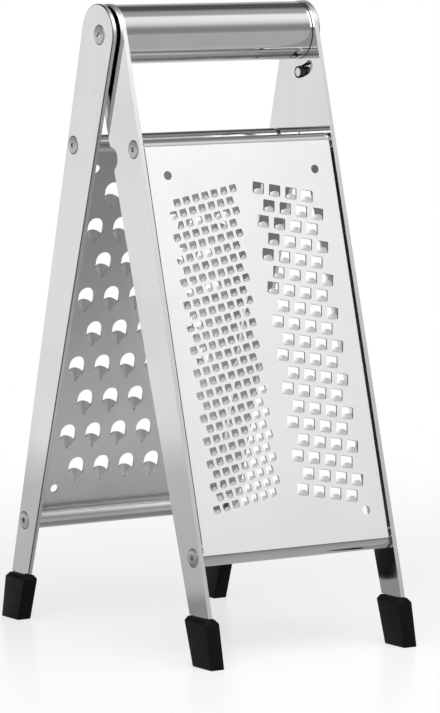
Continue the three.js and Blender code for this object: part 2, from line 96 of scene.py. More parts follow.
@dataclass(frozen=True)
class Sizes:
    """Sizes that several sub-assemblies share, in millimetres and radians."""

    pivot_height: float = 257.5
    lean: float = math.radians(15.0)
    inside_width: float = 94.4
    leg_thickness: float = 2.0
    frame_gap: float = 0.9
    leg_outer: float = 14.1
    leg_top_width: float = 25.1
    leg_inner_at_foot: float = 0.2
    seat: float = 0.2
    sheet: float = 0.8
    roll_radius: float = 4.0
    panel_face: float = 13.1
    panel_side_gap: float = 1.0
    rod_above_foot: float = 24.8
    top_rod: float = 51.2
    foot_height: float = 20.5
    foot_wall: float = 2.3

    @property
    def rod_offset(self) -> float:
        """Distance of the cross rods outward from the pivot line."""
        return self.panel_face - self.roll_radius

    @property
    def bottom_rod(self) -> float:
        """Distance of the bottom rods down a leg from the pivot."""
        return self.down_to(self.rod_offset, self.foot_height) - self.rod_above_foot

    def down_to(self, out: float, height: float) -> float:
        """Distance down a leg from the pivot to a level.

        Args:
            out: distance outward from the pivot line.
            height: the level above the floor.

        Returns:
            The distance along the leg.
        """
        return (self.pivot_height - height + out * math.sin(self.lean)) / math.cos(self.lean)

    def leg_face(self, facing: Facing) -> float:
        """Distance of a frame's outer leg faces from the middle plane.

        Args:
            facing: the frame.

        Returns:
            Half the width over that frame's legs.
        """
        front = self.inside_width / 2 + self.leg_thickness
        if facing is Facing.FRONT:
            return front
        return front + self.frame_gap + self.leg_thickness

    def panel_half(self, facing: Facing) -> float:
        """Half the width of a frame's panel."""
        return self.leg_face(facing) - self.leg_thickness - self.panel_side_gap

    def stance(self, facing: Facing) -> Matrix:
        """Where a frame's own place, with the pivot at its origin, stands in the room."""
        turn = Matrix.Rotation(facing.value * self.lean, 4, "X")
        return Matrix.Translation((0.0, 0.0, self.pivot_height)) @ turn

    def pivot(self) -> Matrix:
        """Where the handle's own place stands in the room."""
        return Matrix.Translation((0.0, 0.0, self.pivot_height))


class Bench:
    """Adds and joins the nodes of one shader tree."""

    def __init__(self, tree: bpy.types.NodeTree) -> None:
        """Starts on an empty tree."""
        self.tree = tree
        self.tree.nodes.clear()

    def add(self, kind: str, **values: object) -> bpy.types.Node:
        """Adds a node.

        Args:
            kind: the node's type name.
            values: settings of the node by name, or of its inputs by name with spaces as underscores.

        Returns:
            The new node.
        """
        node = self.tree.nodes.new(kind)
        for key, value in values.items():
            title = key.replace("_", " ")
            if title in node.inputs:
                node.inputs[title].default_value = value
            else:
                setattr(node, key, value)
        return node

    def join(self, source: bpy.types.NodeSocket, target: bpy.types.NodeSocket) -> None:
        """Links an output to an input."""
        self.tree.links.new(source, target)

    def math(self, operation: str, first: object, second: object) -> bpy.types.NodeSocket:
        """Works out a sum of two values or outputs.

        Args:
            operation: the sum's name.
            first: a number or an output.
            second: a number or an output.

        Returns:
            The result's output.
        """
        node = self.tree.nodes.new("ShaderNodeMath")
        node.operation = operation
        for socket, value in zip(node.inputs, (first, second)):
            if isinstance(value, bpy.types.NodeSocket):
                self.join(value, socket)
            else:
                socket.default_value = value
        return node.outputs[0]

    def spread(self, source: bpy.types.NodeSocket, low: float, high: float) -> bpy.types.NodeSocket:
        """Maps a mask from 0 and 1 to two values.

        Args:
            source: the mask.
            low: the value at 0.
            high: the value at 1.

        Returns:
            The mapped output.
        """
        node = self.add("ShaderNodeMapRange", To_Min=low, To_Max=high)
        self.join(source, node.inputs["Value"])
        return node.outputs["Result"]


class Effects:
    """Surface effects that several finishes share, each a node group built once."""

    made: ClassVar[dict[str, bpy.types.NodeTree]] = {}

    @classmethod
    def group(cls, name: str, inputs: Sequence[tuple[str, str]], outputs: Sequence[str],
              wire: Callable[[Bench, bpy.types.Node, bpy.types.Node], None]) -> bpy.types.NodeTree:
        """Builds a node group the first time it is asked for.

        Args:
            name: the group's name.
            inputs: the name and socket type of each input.
            outputs: the name of each output, all plain values.
            wire: joins the group's inputs to its outputs.

        Returns:
            The node group.
        """
        if name in cls.made:
            return cls.made[name]
        tree = bpy.data.node_groups.new(name, "ShaderNodeTree")
        for title, kind in inputs:
            tree.interface.new_socket(name=title, in_out="INPUT", socket_type=kind)
        for title in outputs:
            tree.interface.new_socket(name=title, in_out="OUTPUT", socket_type="NodeSocketFloat")
        bench = Bench(tree)
        wire(bench, bench.add("NodeGroupInput"), bench.add("NodeGroupOutput"))
        cls.made[name] = tree
        return tree

    @classmethod
    def brush_lines(cls) -> bpy.types.NodeTree:
        """Fine lines left by brushing, as a height and a slower streak."""

        def wire(bench: Bench, given: bpy.types.Node, out: bpy.types.Node) -> None:
            """Stretches two noises along the brushing."""
            scaled = bench.add("ShaderNodeVectorMath", operation="MULTIPLY")
            bench.join(given.outputs["Vector"], scaled.inputs[0])
            bench.join(given.outputs["Lines"], scaled.inputs[1])
            lines = bench.add("ShaderNodeTexNoise", Scale=1.0, Detail=4.0, Roughness=0.6)
            bench.join(scaled.outputs[0], lines.inputs["Vector"])
            bench.join(lines.outputs["Fac"], out.inputs["Height"])
            slow = bench.add("ShaderNodeTexNoise", Scale=0.12, Detail=2.0, Roughness=0.5)
            bench.join(scaled.outputs[0], slow.inputs["Vector"])
            bench.join(slow.outputs["Fac"], out.inputs["Streak"])

        inputs = [("Vector", "NodeSocketVector"), ("Lines", "NodeSocketVector")]
        return cls.group("brush_lines", inputs, ["Height", "Streak"], wire)

    @classmethod
    def handling_marks(cls) -> bpy.types.NodeTree:
        """Soft cloudy marks from wiping and handling, as a mask."""

        def wire(bench: Bench, given: bpy.types.Node, out: bpy.types.Node) -> None:
            """Cuts a cloudy noise down to soft patches."""
            clouds = bench.add("ShaderNodeTexNoise", Detail=5.0, Roughness=0.55)
            bench.join(given.outputs["Vector"], clouds.inputs["Vector"])
            bench.join(given.outputs["Scale"], clouds.inputs["Scale"])
            limits = {"From_Min": 0.38, "From_Max": 0.72}
            patches = bench.add("ShaderNodeMapRange", interpolation_type="SMOOTHSTEP", **limits)
            bench.join(clouds.outputs["Fac"], patches.inputs["Value"])
            bench.join(patches.outputs["Result"], out.inputs["Mask"])

        inputs = [("Vector", "NodeSocketVector"), ("Scale", "NodeSocketFloat")]
        return cls.group("handling_marks", inputs, ["Mask"], wire)

    @classmethod
    def mould_grain(cls) -> bpy.types.NodeTree:
        """The pebbled skin of moulded rubber and plastic, as a height."""

        def wire(bench: Bench, given: bpy.types.Node, out: bpy.types.Node) -> None:
            """Lays fine noise over small cells."""
            cells = bench.add("ShaderNodeTexVoronoi", feature="SMOOTH_F1", Smoothness=0.6)
            bench.join(given.outputs["Vector"], cells.inputs["Vector"])
            bench.join(given.outputs["Scale"], cells.inputs["Scale"])
            dust = bench.add("ShaderNodeTexNoise", Detail=3.0, Roughness=0.6)
            bench.join(given.outputs["Vector"], dust.inputs["Vector"])
            bench.join(given.outputs["Scale"], dust.inputs["Scale"])
            height = bench.math("ADD", cells.outputs["Distance"], dust.outputs["Fac"])
            bench.join(height, out.inputs["Height"])

        inputs = [("Vector", "NodeSocketVector"), ("Scale", "NodeSocketFloat")]
        return cls.group("mould_grain", inputs, ["Height"], wire)


@dataclass(frozen=True)
class Finish:
    """A surface finish: a record slot, its plain values and the nodes that vary them."""

    name: str
    slot: str
    colour: tuple[float, float, float]
    roughness: float
    metallic: float

    def material(self) -> bpy.types.Material:
        """The finish's material, made the first time it is asked for."""
        known = bpy.data.materials.get(self.name)
        if known:
            return known
        made = bpy.data.materials.new(self.name)
        made.use_nodes = True
        bench = Bench(made.node_tree)
        shader = bench.add("ShaderNodeBsdfPrincipled", Metallic=self.metallic)
        place = bench.add("ShaderNodeTexCoord").outputs["Object"]
        self.dress(bench, shader, place)
        output = bench.add("ShaderNodeOutputMaterial")
        bench.join(shader.outputs["BSDF"], output.inputs["Surface"])
        return made

    def dress(self, bench: Bench, shader: bpy.types.Node, place: bpy.types.NodeSocket) -> None:
        """Varies the shader over the surface; each finish has its own way.

        Args:
            bench: the material's nodes.
            shader: the material's shader.
            place: the place on the object.
        """
        raise NotImplementedError

    def tint(self, bench: Bench, shader: bpy.types.Node, mask: bpy.types.NodeSocket, depth: float) -> None:
        """Darkens the colour a little where a mask is high.

        Args:
            bench: the material's nodes.
            shader: the material's shader.
            mask: where the colour is darker.
            depth: the share of the colour that is left there.
        """
        mix = bench.add("ShaderNodeMix", data_type="RGBA")
        mix.inputs[6].default_value = (*self.colour, 1.0)
        mix.inputs[7].default_value = (*[part * depth for part in self.colour], 1.0)
        bench.join(mask, mix.inputs["Factor"])
        bench.join(mix.outputs[2], shader.inputs["Base Color"])

    def effect(self, bench: Bench, tree: bpy.types.NodeTree, place: bpy.types.NodeSocket,
               name: str, value: object) -> bpy.types.Node:
        """Places a shared effect in this material.

        Args:
            bench: the material's nodes.
            tree: the effect's node group.
            place: the place on the object.
            name: the effect's one setting.
            value: that setting's value.

        Returns:
            The group node.
        """
        node = bench.add("ShaderNodeGroup", node_tree=tree)
        node.inputs[name].default_value = value
        bench.join(place, node.inputs["Vector"])
        return node

    def bump(self, bench: Bench, shader: bpy.types.Node, height: bpy.types.NodeSocket,
             strength: float, depth: float) -> None:
        """Raises the surface by a height.

        Args:
            bench: the material's nodes.
            shader: the material's shader.
            height: the height map.
            strength: how much of the bump shows.
            depth: the bump's depth in metres.
        """
        node = bench.add("ShaderNodeBump", Strength=strength, Distance=depth)
        bench.join(height, node.inputs["Height"])
        bench.join(node.outputs["Normal"], shader.inputs["Normal"])


@dataclass(frozen=True)
class Steel(Finish):
    """Stainless steel: brushed along one direction, with faint marks from wiping."""

    lines: tuple[float, float, float] = (40.0, 40.0, 900.0)
    line_strength: float = 0.03
    rough_spread: float = 0.05
    mark_depth: float = 0.94
    mark_scale: float = 28.0

    def dress(self, bench: Bench, shader: bpy.types.Node, place: bpy.types.NodeSocket) -> None:
        """Brushes the steel and clouds its gloss.

        Args:
            bench: the material's nodes.
            shader: the material's shader.
            place: the place on the object.
        """
        brushed = self.effect(bench, Effects.brush_lines(), place, "Lines", self.lines)
        marks = self.effect(bench, Effects.handling_marks(), place, "Scale", self.mark_scale)
        self.tint(bench, shader, marks.outputs["Mask"], self.mark_depth)
        mixed = bench.math("MULTIPLY", marks.outputs["Mask"], brushed.outputs["Streak"])
        rough = bench.spread(mixed, self.roughness, self.roughness + self.rough_spread)
        bench.join(rough, shader.inputs["Roughness"])
        self.bump(bench, shader, brushed.outputs["Height"], self.line_strength, 0.0001)


@dataclass(frozen=True)
class Moulded(Finish):
    """Moulded rubber or plastic with a fine pebbled skin and a little dust."""

    grain_scale: float = 1800.0
    grain_strength: float = 0.25
    dust_depth: float = 1.5
    gloss: float = 0.4

    def dress(self, bench: Bench, shader: bpy.types.Node, place: bpy.types.NodeSocket) -> None:
        """Pebbles the skin and dusts it.

        Args:
            bench: the material's nodes.
            shader: the material's shader.
            place: the place on the object.
        """
        grain = self.effect(bench, Effects.mould_grain(), place, "Scale", self.grain_scale)
        dust = self.effect(bench, Effects.handling_marks(), place, "Scale", 90.0)
        self.tint(bench, shader, dust.outputs["Mask"], self.dust_depth)
        rough = bench.spread(dust.outputs["Mask"], self.roughness, self.roughness + 0.12)
        bench.join(rough, shader.inputs["Roughness"])
        shader.inputs["Specular IOR Level"].default_value = self.gloss
        self.bump(bench, shader, grain.outputs["Height"], self.grain_strength, 0.0001)


class Finishes:
    """The finishes of this grater."""

    POLISHED = Steel("mirror_finish", "polished_steel", (0.70, 0.70, 0.705), 0.05, 1.0,
                     lines=(60.0, 60.0, 500.0), line_strength=0.015)
    SATIN = Steel("satin_finish", "satin_steel", (0.80, 0.80, 0.80), 0.70, 1.0,
                  lines=(50.0, 900.0, 900.0), line_strength=0.06, rough_spread=0.08, mark_depth=0.97)
    EDGE = Steel("edge_finish", "polished_steel", (0.80, 0.80, 0.805), 0.38, 1.0,
                 lines=(60.0, 60.0, 500.0), line_strength=0.03)
    # Sheared edges: rough grey steel, made darker than the sheet as painted shade in the hole walls, on cut
    # edges and on the tube's ends.
    CUT = Steel("cut_finish", "satin_steel", (0.42, 0.42, 0.42), 0.42, 1.0,
                lines=(50.0, 700.0, 700.0), line_strength=0.08)
    MILL = Steel("mill_finish", "satin_steel", (0.73, 0.73, 0.725), 0.34, 1.0,
                 lines=(50.0, 700.0, 700.0), line_strength=0.08, rough_spread=0.1)
    # Rolled edges: glossier steel, darker than the sheet as painted shade where the handle keeps the soft
    # box's light off the top rolls.
    SHADED_ROLL = Steel("rolled_finish", "satin_steel", (0.56, 0.56, 0.56), 0.15, 1.0,
                   lines=(50.0, 700.0, 700.0), line_strength=0.01)
    TURNED = Steel("turned_finish", "bright_steel", (0.66, 0.66, 0.665), 0.16, 1.0,
                   lines=(700.0, 200.0, 200.0), line_strength=0.05)
    # Near-black steel on the legs' eased edges and countersinks: painted shade, a dark line along each edge
    # and a dark ring round each screw head.
    BEVEL = Steel("bevel_finish", "polished_steel", (0.17, 0.17, 0.172), 0.22, 1.0,
                  lines=(60.0, 60.0, 500.0), line_strength=0.02)
    BOLT = Steel("bolt_finish", "bright_steel", (0.47, 0.47, 0.475), 0.18, 1.0,
                 lines=(700.0, 200.0, 200.0), line_strength=0.05)
    RUBBER = Moulded("rubber_finish", "foot_rubber", (0.0012, 0.0012, 0.0014), 0.45, 0.0, gloss=0.14)
    NYLON = Moulded("nylon_finish", "washer_nylon", (0.02, 0.02, 0.022), 0.5, 0.0, grain_scale=900.0)


def arc(centre: tuple[float, float], radius: float, start: float, stop: float, steps: int) -> list[Vector]:
    """Points on an arc in a plane.

    Args:
        centre: the arc's centre.
        radius: its radius.
        start: the angle of the first point.
        stop: the angle of the last point.
        steps: how many chords it has.

    Returns:
        The points, both ends included.
    """
    angles = [start + (stop - start) * step / steps for step in range(steps + 1)]
    return [Vector((centre[0] + radius * math.cos(a), centre[1] + radius * math.sin(a))) for a in angles]


def rounded(width: float, height: float, radius: float, steps: int) -> list[Vector]:
    """The outline of a rectangle with round corners, about its middle.

    Args:
        width: its width.
        height: its height.
        radius: the corners' radius.
        steps: chords at each corner.

    Returns:
        The outline's points.
    """
    points: list[Vector] = []
    for turn, (a, b) in enumerate(((1, 1), (-1, 1), (-1, -1), (1, -1))):
        centre = (a * (width / 2 - radius), b * (height / 2 - radius))
        start = turn * math.pi / 2
        points += arc(centre, radius, start, start + math.pi / 2, steps)
    return points


def closed_loop(shape: Shape, points: Loop) -> list[bmesh.types.BMEdge]:
    """Adds a closed ring of edges.

    Args:
        shape: the shape that gets it.
        points: its corners in order.

    Returns:
        The new edges.
    """
    verts = [shape.verts.new(point) for point in points]
    return [shape.edges.new((verts[index - 1], verts[index])) for index in range(len(verts))]


def filled(shape: Shape, loops: Sequence[Loop]) -> list[bmesh.types.BMEdge]:
    """Fills an outline, leaving its holes open.

    Args:
        shape: the shape that gets the faces.
        loops: the outline and its holes, all in one plane.

    Returns:
        The outline's edges.
    """
    rings = [closed_loop(shape, points) for points in loops]
    edges = [edge for ring in rings for edge in ring]
    bmesh.ops.triangle_fill(shape, use_beauty=True, use_dissolve=False, edges=edges)
    return rings[0]


def thickened(shape: Shape, offset: Vector) -> None:
    """Turns an open flat shape into a closed slab.

    Args:
        shape: the flat shape.
        offset: where its second face lies from its first.
    """
    made = bmesh.ops.extrude_face_region(shape, geom=list(shape.faces))
    verts = [item for item in made["geom"] if isinstance(item, bmesh.types.BMVert)]
    bmesh.ops.translate(shape, verts=verts, vec=offset)
    bmesh.ops.recalc_face_normals(shape, faces=shape.faces)


def eased(shape: Shape, offset: float, segments: int, above: float) -> None:
    """Rounds the sharp edges of a closed shape.

    Args:
        shape: the shape.
        offset: how far the rounding reaches.
        segments: its facets.
        above: edges that turn by more than this angle are rounded.
    """
    sharp = [edge for edge in shape.edges if len(edge.link_faces) == 2 and edge.calc_face_angle() > above]
    bmesh.ops.bevel(shape, geom=sharp, offset=offset, offset_type="OFFSET", segments=segments, profile=0.5,
                    affect="EDGES", clamp_overlap=True, material=-1)


def turned(shape: Shape, profile: Sequence[tuple[float, float]], steps: int, closed: bool = False) -> None:
    """Turns a profile about the X axis.

    Args:
        shape: the shape that gets it.
        profile: its corners as (x, radius).
        steps: facets round the axis.
        closed: whether the profile's last corner joins its first.
    """
    verts = [shape.verts.new((x, 0.0, radius)) for x, radius in profile]
    edges = [shape.edges.new(pair) for pair in zip(verts, verts[1:])]
    if closed:
        edges.append(shape.edges.new((verts[-1], verts[0])))
    bmesh.ops.spin(shape, geom=verts + edges, cent=(0.0, 0.0, 0.0), axis=(1.0, 0.0, 0.0),
                   angle=2 * math.pi, steps=steps, use_merge=True)
    bmesh.ops.remove_doubles(shape, verts=shape.verts, dist=0.0001)
    bmesh.ops.recalc_face_normals(shape, faces=shape.faces)


def settle(shape: Shape, node: str, finishes: Sequence[Finish], body: str, stance: Matrix,
           sharp: float = 20.0) -> None:
    """Makes a shape the visible piece of a CAD node.

    Args:
        shape: the shape in millimetres, in its sub-assembly's own place.
        node: the CAD node that it stands for.
        finishes: its finishes, the main one first, in the order of its faces' marks.
        body: the body that it rides on.
        stance: where the sub-assembly stands in the room.
        sharp: edges that turn by more than this many degrees stay sharp.
    """
    bmesh.ops.transform(shape, matrix=Matrix.Scale(MM, 4) @ stance, verts=shape.verts)
    for face in shape.faces:
        face.smooth = True
    mesh = bpy.data.meshes.new(f"{node}_fine")
    shape.to_mesh(mesh)
    shape.free()
    mesh.set_sharp_from_angle(angle=math.radians(sharp))
    for finish in finishes:
        mesh.materials.append(finish.material())
    piece = bpy.data.objects.new(f"{node}_fine", mesh)
    bpy.context.scene.collection.objects.link(piece)
    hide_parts(node)
    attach(piece, body)
    LOG.info("%s: %d faces in %s", node, len(mesh.polygons), ", ".join(finish.name for finish in finishes))


def repaint(node: str, finish: Finish) -> None:
    """Gives a CAD node that stays as it is a finish."""
    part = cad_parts[node]
    part.data.materials.clear()
    part.data.materials.append(finish.material())
    LOG.info("%s: kept, in %s", node, finish.name)


@dataclass
class Handle:
    """The tubular handle with its plugs and washers."""

    sizes: Sizes
    diameter: float = 25.0
    wall: float = 1.5
    lip: float = 0.15
    washer_diameter: float = 14.0
    washer_thickness: float = 0.5
    washer_bore: float = 5.4
    steps: int = 144

    def build(self) -> None:
        """Builds the handle's pieces."""
        self.tube()
        for hand in Hand:
            self.washer(hand)
            repaint(f"handle_plug_{hand.suffix}", Finishes.TURNED)

    def tube(self) -> None:
        """Builds the tube with eased ends."""
        half = self.sizes.inside_width / 2 - self.sizes.seat
        outer = self.diameter / 2
        inner = outer - self.wall
        profile = [
            (-half, inner),
            (-half, outer - self.lip),
            (-half + self.lip, outer),
            (half - self.lip, outer),
            (half, outer - self.lip),
            (half, inner),
        ]
        shape = bmesh.new()
        turned(shape, profile, self.steps, closed=True)
        shape.normal_update()
        for face in shape.faces:
            # The tube's ends take the rough cut steel, whose darker colour is painted shade.
            face.material_index = int(abs(face.normal.x) > END_LEAN)
        finishes = [Finishes.POLISHED, Finishes.CUT]
        settle(shape, "handle_tube", finishes, Facing.FRONT.body, self.sizes.pivot())

    def washer(self, hand: Hand) -> None:
        """Builds one of the thin washers between the legs."""
        near = self.sizes.leg_face(Facing.FRONT) + self.sizes.seat
        bore = self.washer_bore / 2
        rim = self.washer_diameter / 2
        far = near + self.washer_thickness
        corners = ((near, bore), (near, rim), (far, rim), (far, bore))
        profile = [(hand.value * x, radius) for x, radius in corners]
        shape = bmesh.new()
        turned(shape, profile, WASHER_STEPS, closed=True)
        node = f"pivot_washer_{hand.suffix}"
        settle(shape, node, [Finishes.NYLON], Facing.FRONT.body, self.sizes.pivot())


@dataclass
class Legs:
    """The two flat legs of a frame."""

    sizes: Sizes
    facing: Facing
    edge: float = 0.42
    notch_clearance: float = 0.8
    notch_fillet: float = 2.0
    pivot_hole: float = 5.4
    screw_sink: tuple[float, float] = (7.97, 4.4)
    pivot_sink: tuple[float, float] = (8.57, 5.4)
    stop_hand: Hand = Hand.RIGHT
    slot_orbit: float = 18.0
    slot_half: float = 2.6
    slot_folded: float = math.radians(17.8)
    foot_sole: float = 4.0
    top_steps: int = 48

    def build(self) -> None:
        """Builds both legs."""
        for hand in Hand:
            self.leg(hand)

    def place(self, points: Loop, x: float) -> list[Vector]:
        """Moves (out, down) points to a plane of the frame's own place.

        Args:
            points: distances outward and down.
            x: the plane.

        Returns:
            The points in the frame's place.
        """
        return [Vector((x, self.facing.value * point.x, -point.y)) for point in points]

    def notch(self) -> list[Vector]:
        """The groove in the inner edge that takes the rear panel's rolled edge when folded."""
        sizes = self.sizes
        low = Vector((sizes.leg_inner_at_foot, sizes.down_to(sizes.leg_inner_at_foot, sizes.foot_height)))
        top = Vector((sizes.leg_outer - sizes.leg_top_width, 0.0))
        along = (top - low).normalized()
        inward = Vector((-along.y, along.x))
        centre = Vector((-sizes.rod_offset, sizes.top_rod)) - low
        depth = centre.dot(inward)
        base = low + along * centre.dot(along)
        radius = sizes.roll_radius + self.notch_clearance
        rise = self.notch_fillet - depth
        reach = math.sqrt((radius + self.notch_fillet) ** 2 - rise ** 2)
        meet = math.atan2(rise, reach)
        flat = arc((-reach, self.notch_fillet), self.notch_fillet, -math.pi / 2, -meet, 10)
        flat += arc((0.0, depth), radius, math.pi - meet, meet, 28)[1:-1]
        flat += arc((reach, self.notch_fillet), self.notch_fillet, math.pi + meet, 1.5 * math.pi, 10)
        return [base + along * point.x + inward * point.y for point in flat]

    def slot(self) -> list[Vector]:
        """The curved slot that the stop pin runs in."""
        opened = math.pi / 2 - (self.slot_folded - 2 * self.sizes.lean)
        folded = math.pi / 2 - self.slot_folded
        ends = [(self.slot_orbit * math.cos(a), self.slot_orbit * math.sin(a)) for a in (opened, folded)]
        points = arc((0.0, 0.0), self.slot_orbit + self.slot_half, folded, opened, 14)
        points += arc(ends[0], self.slot_half, opened, opened + math.pi, 14)[1:-1]
        points += arc((0.0, 0.0), self.slot_orbit - self.slot_half, opened, folded, 14)
        points += arc(ends[1], self.slot_half, folded - math.pi, folded, 14)[1:-1]
        return points

    def outline(self) -> list[Vector]:
        """The leg's side outline with its tang inside the foot."""
        sizes = self.sizes
        radius = sizes.leg_top_width / 2
        shoulder = sizes.foot_height + sizes.seat
        inner = sizes.leg_inner_at_foot
        tang = (sizes.leg_outer - sizes.foot_wall, inner + sizes.foot_wall)
        sole = self.foot_sole + sizes.seat
        points = arc((sizes.leg_outer - radius, 0.0), radius, -math.pi, 0.0, self.top_steps)
        corners = [(sizes.leg_outer, shoulder), (tang[0], shoulder), (tang[0], sole),
                   (tang[1], sole), (tang[1], shoulder), (inner, shoulder)]
        points += [Vector((out, sizes.down_to(out, height))) for out, height in corners]
        if self.facing is Facing.FRONT:
            points += self.notch()
        return points

    def leg(self, hand: Hand) -> None:
        """Builds one leg.

        Args:
            hand: its side.
        """
        sizes = self.sizes
        face = hand.value * sizes.leg_face(self.facing)
        full = 2 * math.pi
        sinks = [(sizes.rod_offset, down, *self.screw_sink) for down in (sizes.top_rod, sizes.bottom_rod)]
        holes = []
        if self.facing is Facing.REAR:
            sinks.append((0.0, 0.0, *self.pivot_sink))
        else:
            holes.append(arc((0.0, 0.0), self.pivot_hole / 2, 0.0, full, 32)[1:])
        if self.facing is Facing.FRONT and hand is self.stop_hand:
            holes.append(self.slot())
        holes += [arc((out, down), rim / 2, 0.0, full, ROUND_STEPS)[1:] for out, down, rim, _ in sinks]
        shape = bmesh.new()
        rim_edges = filled(shape, [self.place(points, face) for points in [self.outline(), *holes]])
        thickened(shape, Vector((-hand.value * sizes.leg_thickness, 0.0, 0.0)))
        for part in [part for edge in rim_edges for part in edge.link_faces]:
            part.material_index = int(abs(part.normal.x) < END_LEAN)
        for out, down, rim, bore in sinks:
            centre = Vector((face - hand.value * sizes.leg_thickness, self.facing.value * out, -down))
            self.taper_hole(shape, centre, rim, bore)
        eased(shape, self.edge, 2, EASED_ANGLE)
        shape.normal_update()
        # Eased edges and countersinks on the outer side take the near-black steel, as painted shade.
        for part in shape.faces:
            if END_LEAN < part.normal.x * hand.value < FLAT_LEAN:
                part.material_index = 2
        node = f"{self.facing.prefix}_leg_{hand.suffix}"
        finishes = [Finishes.POLISHED, Finishes.EDGE, Finishes.BEVEL]
        settle(shape, node, finishes, self.facing.body, sizes.stance(self.facing))

    def taper_hole(self, shape: Shape, centre: Vector, rim: float, bore: float) -> None:
        """Draws a screw hole in at the leg's back face, which makes it a countersink.

        Args:
            shape: the leg.
            centre: the hole's middle on the back face.
            rim: the hole's diameter before.
            bore: its diameter on the back face afterwards.
        """
        share = bore / rim
        near = [vert for vert in shape.verts if (vert.co - centre).length < rim / 2 + self.edge]
        bmesh.ops.scale(shape, vec=(1.0, share, share), verts=near, space=Matrix.Translation(-centre))


@dataclass
class Tooth:
    """A pressed tooth: a hole with an arched tongue standing out of its lower part."""

    width: float
    height: float
    corner: float
    tongue_width: float
    tongue_top: float
    tongue_sag: float
    rise: float
    columns: int
    rows: int
    taper: float = 0.0
    wall: float = 0.45
    point: float = 0.0
    run_out: float = 1.15

    def arch(self, across: float) -> float:
        """The tongue's height across its width, as a share of its rise."""
        return 1.0 - across * across

    def narrow(self, fall: float) -> float:
        """The tongue's share of its full width on the way down from its tip."""
        return 1.0 - self.taper * fall * fall

    def mouth(self) -> list[Vector]:
        """The hole's outline as (across, down) points about its middle."""
        return rounded(self.width, self.height, self.corner, 3)

    def tongue(self) -> Shape:
        """The tongue as a thin arched shell, with x across, y outward and z up, about the hole's middle."""
        shape = bmesh.new()
        bmesh.ops.create_grid(shape, x_segments=self.columns, y_segments=self.rows, size=1.0)
        foot = self.height / 2 + self.point
        for vert in shape.verts:
            across = vert.co.x
            fall = (1.0 - vert.co.y) / 2
            top = self.tongue_top + self.tongue_sag * across * across
            down = top + (foot - top) * fall
            out = self.rise * self.arch(across) * (1.0 - fall) ** self.run_out
            vert.co = Vector((across * self.narrow(fall) * self.tongue_width / 2, out, -down))
        bmesh.ops.recalc_face_normals(shape, faces=shape.faces)
        bmesh.ops.solidify(shape, geom=list(shape.faces), thickness=self.wall)
        bmesh.ops.recalc_face_normals(shape, faces=shape.faces)
        return shape


